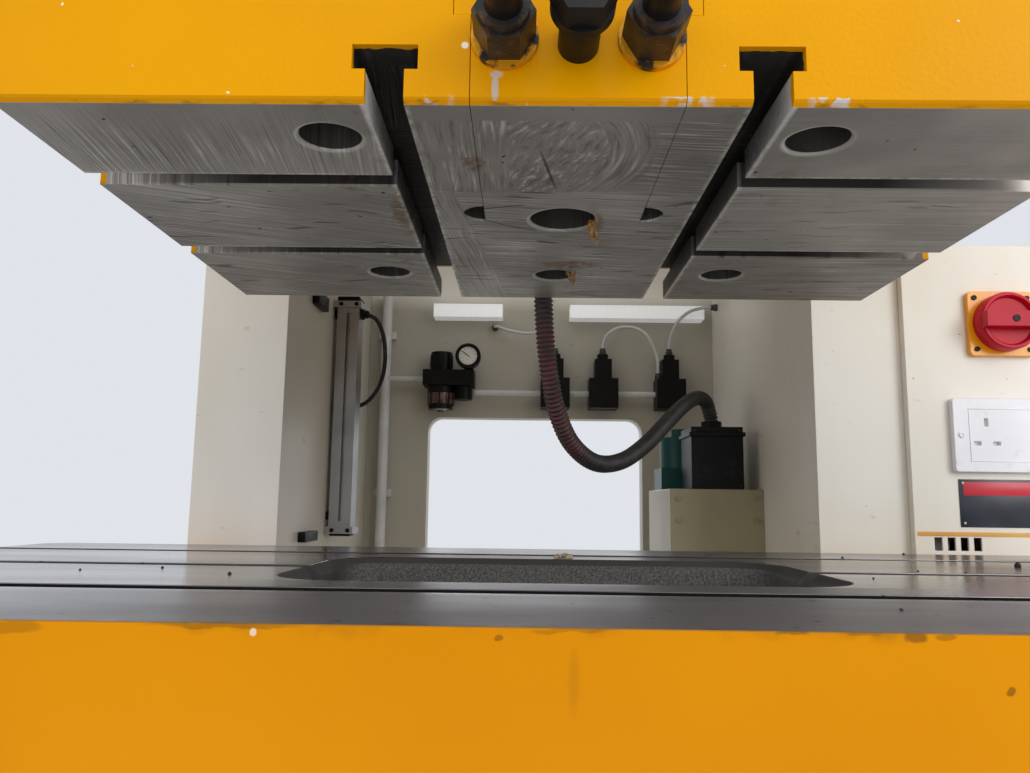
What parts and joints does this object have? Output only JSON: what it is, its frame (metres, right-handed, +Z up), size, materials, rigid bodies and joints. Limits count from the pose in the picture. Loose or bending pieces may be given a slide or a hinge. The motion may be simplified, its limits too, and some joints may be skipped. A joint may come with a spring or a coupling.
{
  "type": "mechanical stamping press",
  "caption": "C-frame mechanical stamping press with slotted slide and bolster, geared crank drive, flywheel and electrical cabinet.",
  "frame": {"origin": "centre of the four anchor holes, on the floor plane", "axes": "+X to the operator's right, +Y from the operator to the back, +Z up along the stroke"},
  "size_m": [1.359, 1.596, 2.892],
  "materials": {
    "cream_paint": "gloss enamel on welded steel",
    "yellow_paint": "gloss enamel on cast iron and steel",
    "machined_steel": "milled and ground, oiled",
    "black_oxide": "black oxide",
    "cast_iron": "dark primer on casting",
    "bronze": "turned bronze",
    "bearing_steel": "ground",
    "chrome_rod": "hard chrome",
    "bar_aluminium": "extruded, anodised",
    "machine_blue": "blue grey enamel",
    "belt_rubber": "moulded",
    "conduit": "corrugated",
    "black_plastic": "moulded",
    "white_plastic": "moulded",
    "grey_plastic": "moulded",
    "crimson_plastic": "moulded",
    "green_plastic": "moulded",
    "teal_paint": "enamel"
  },
  "bodies": {
    "root": {"left_cheek": "cream_paint", "right_cheek": "cream_paint", "frame_plates": "cream_paint", "frame_bolts": "black_oxide", "bolster": "yellow_paint", "gibs": "machined_steel", "crank_bushes": "bronze", "shaft_bearings": "bearing_steel", "motor": "machine_blue", "motor_bracket": "cream_paint", "v_belts": "belt_rubber", "flywheel_guard": "yellow_paint", "crown_cover": "yellow_paint", "angle_dial": "white_plastic", "balance_cylinders": "bearing_steel", "knockout_stops": "black_oxide", "air_tank": "machine_blue", "air_unit": "black_plastic", "gauge": "black_plastic", "valve_blocks": "black_plastic", "air_pipes": "white_plastic", "sensor_bar": "bar_aluminium", "lamp_bars": "white_plastic", "cabinet": "cream_paint", "switch_plate": "yellow_paint", "socket_plate": "white_plastic", "shelf_box": "cream_paint", "junction_box": "black_plastic", "grease_pump": "teal_paint", "hose": "conduit", "hand_boxes": "grey_plastic", "lifting_eyes": "black_oxide"},
    "slide_unit": {"slide": "yellow_paint", "clamp_block": "yellow_paint", "clamp_studs": "black_oxide", "clamp_nuts": "black_oxide", "jack_screw": "black_oxide", "balance_rods": "chrome_rod", "slide_gland": "black_oxide"},
    "crank_unit": {"crankshaft": "machined_steel", "main_gear": "machined_steel", "angle_pointer": "crimson_plastic"},
    "rod_unit": {"connecting_rod": "cast_iron", "rod_cap": "cast_iron", "rod_bolts": "black_oxide", "adjusting_screw": "machined_steel", "ball_seat": "bronze", "ball_retainer": "machined_steel"},
    "pinion_unit": {"pinion_shaft": "machined_steel", "wheel_bearing": "bearing_steel", "clutch_drum": "cast_iron"},
    "wheel_unit": {"flywheel": "cast_iron"},
    "motor_rotor": {"motor_pulley": "cast_iron"},
    "knockout_unit": {"knockout_bar": "machined_steel"},
    "door_unit": {"cabinet_door": "cream_paint"},
    "latch_unit": {"door_latch": "black_oxide"},
    "switch_unit": {"switch_handle": "crimson_plastic"},
    "palm_left": {"palm_button_left": "green_plastic"},
    "palm_right": {"palm_button_right": "green_plastic"},
    "stop_unit": {"stop_button": "crimson_plastic"}
  },
  "joints": [
    {"name": "crank_turn", "type": "hinge", "parent": "root", "child": "crank_unit", "pos_m": [0, -0.33, 2.12], "axis": [0, -1, 0], "range_deg": [0, 180]},
    {"name": "slide_stroke", "type": "slide", "parent": "root", "child": "slide_unit", "axis": [0, 0, 1], "range_m": [0, 0.11]},
    {"name": "rod_swing", "type": "hinge", "parent": "crank_unit", "child": "rod_unit", "pos_m": [0, -0.33, 2.065], "axis": [0, -1, 0], "range_deg": [-180, 0]},
    {"name": "pinion_turn", "type": "hinge", "parent": "root", "child": "pinion_unit", "pos_m": [0, -0.33, 1.796], "axis": [0, -1, 0], "range_deg": [-900, 0]},
    {"name": "flywheel_spin", "type": "hinge", "parent": "root", "child": "wheel_unit", "pos_m": [0, -0.33, 1.796], "axis": [0, 1, 0], "continuous": true},
    {"name": "motor_spin", "type": "hinge", "parent": "root", "child": "motor_rotor", "pos_m": [0, -0.33, 2.742], "axis": [0, 1, 0], "continuous": true},
    {"name": "knockout_lift", "type": "slide", "parent": "slide_unit", "child": "knockout_unit", "axis": [0, 0, 1], "range_m": [0, 0.03]},
    {"name": "door_swing", "type": "hinge", "parent": "root", "child": "door_unit", "pos_m": [0.784, 0.361, 0.78], "axis": [0, 0, 1], "range_deg": [0, 110]},
    {"name": "latch_turn", "type": "hinge", "parent": "door_unit", "child": "latch_unit", "pos_m": [0.777, 0.033, 0.78], "axis": [1, 0, 0], "range_deg": [0, 90]},
    {"name": "switch_turn", "type": "hinge", "parent": "root", "child": "switch_unit", "pos_m": [0.535, -0.027, 1.1685], "axis": [0, 1, 0], "range_deg": [0, 90]},
    {"name": "palm_left_press", "type": "slide", "parent": "root", "child": "palm_left", "axis": [0, 0, -1], "range_m": [0, 0.006], "stiffness_N_per_m": 500, "springref_m": -0.004},
    {"name": "palm_right_press", "type": "slide", "parent": "root", "child": "palm_right", "axis": [0, 0, -1], "range_m": [0, 0.006], "stiffness_N_per_m": 500, "springref_m": -0.004},
    {"name": "stop_press", "type": "slide", "parent": "root", "child": "stop_unit", "axis": [0, 0, -1], "range_m": [0, 0.005], "stiffness_N_per_m": 500, "springref_m": -0.004}
  ],
  "couplings": [
    {"joint": "slide_stroke", "follows": "crank_turn", "m_per_rad": 0.035014},
    {"joint": "rod_swing", "follows": "crank_turn", "ratio": -1},
    {"joint": "pinion_turn", "follows": "crank_turn", "ratio": -5},
    {"joint": "motor_spin", "follows": "flywheel_spin", "ratio": 3.8852}
  ]
}
